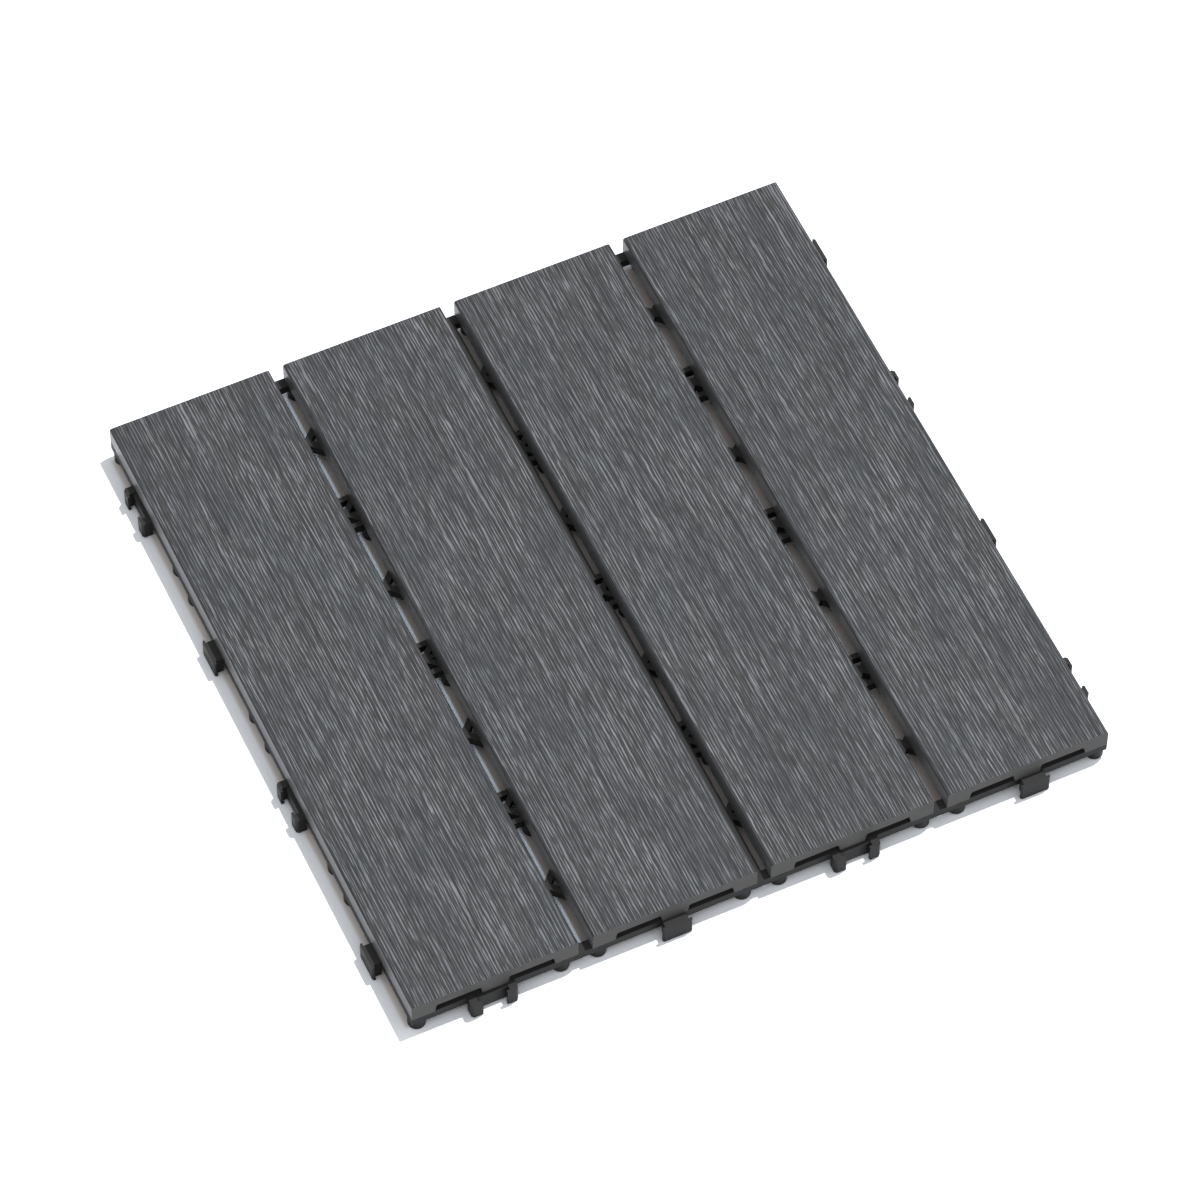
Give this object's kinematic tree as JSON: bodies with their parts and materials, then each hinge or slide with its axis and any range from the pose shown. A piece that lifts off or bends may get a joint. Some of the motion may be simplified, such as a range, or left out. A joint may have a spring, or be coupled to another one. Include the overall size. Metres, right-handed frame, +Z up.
{
  "type": "interlocking deck tile",
  "caption": "Square interlocking deck tile: grooved composite slats screwed to a moulded base grid with hooks, forks and round feet.",
  "frame": {"origin": "middle of the tile's footprint, on the ground that its feet stand on", "axes": "+X across the slats, +Y along the slats, +Z up"},
  "size_m": [0.3082, 0.3082, 0.0178],
  "materials": {
    "base_plastic": "matt moulded black plastic",
    "composite": "brushed dark grey wood-plastic composite with fine pale streaks along its length",
    "screw_steel": "bright zinc-plated steel"
  },
  "bodies": {
    "root": {"base_grid": "base_plastic", "slat_1": "composite", "slat_2": "composite", "slat_3": "composite", "slat_4": "composite", "screws": "screw_steel"}
  },
  "joints": []
}
